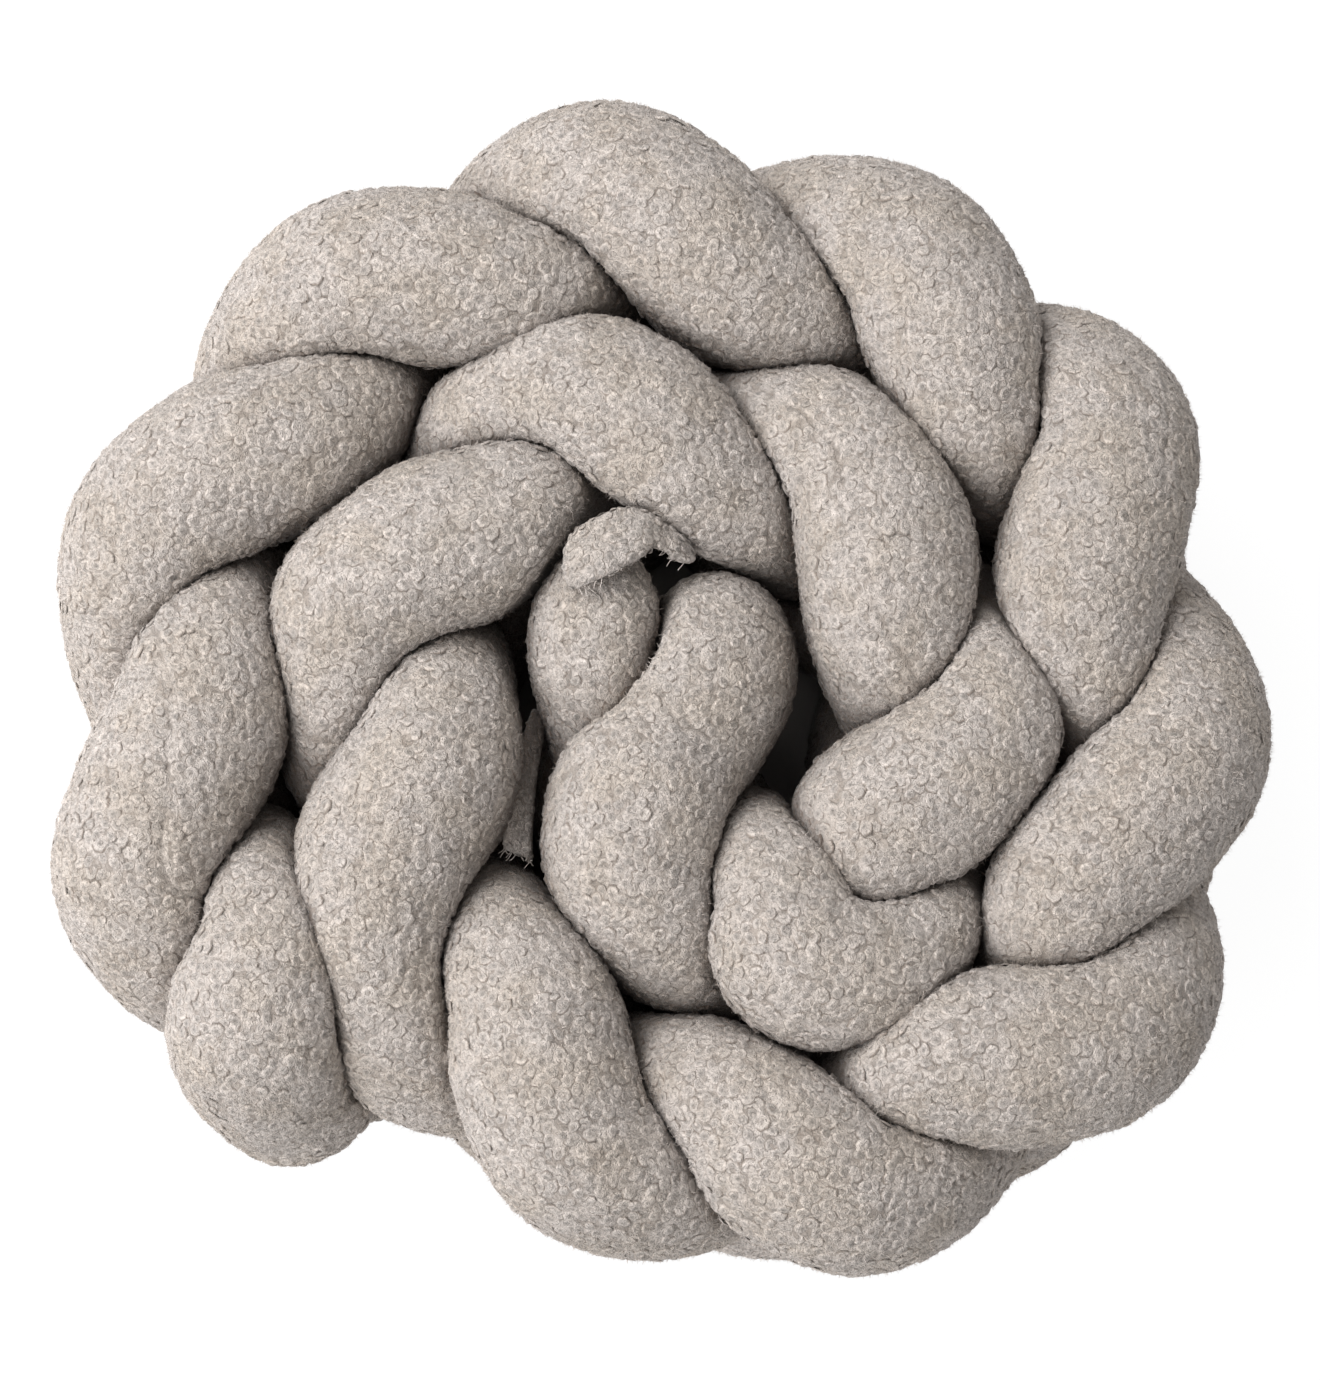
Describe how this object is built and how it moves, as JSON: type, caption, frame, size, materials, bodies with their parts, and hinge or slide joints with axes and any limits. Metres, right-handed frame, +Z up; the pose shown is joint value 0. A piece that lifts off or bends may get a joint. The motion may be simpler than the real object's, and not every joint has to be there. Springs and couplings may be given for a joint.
{
  "type": "braided crib bumper, coiled",
  "caption": "Stuffed cloth tubes plaited into a long soft bumper for a crib's rails, lying coiled on its edge in looped boucle cloth, with the tube ends sewn into folded bindings.",
  "frame": {"origin": "centre of the coil's outer box, on the surface it stands on", "axes": "+Z up out of the coil; -Y towards the side where the plait's outer end lies, which is at -X -Y"},
  "size_m": [0.5346, 0.5114, 0.167],
  "materials": {
    "boucle_cloth": "warm light grey boucle of small looped curls, matt and slightly fuzzy",
    "binding_cloth": "the same boucle, folded, with frayed raw edges"
  },
  "bodies": {
    "root": {"tube_1": "boucle_cloth", "tube_2": "boucle_cloth", "tube_3": "boucle_cloth", "inner_binding": "binding_cloth", "outer_binding": "binding_cloth", "inner_flap": "binding_cloth"}
  },
  "joints": []
}
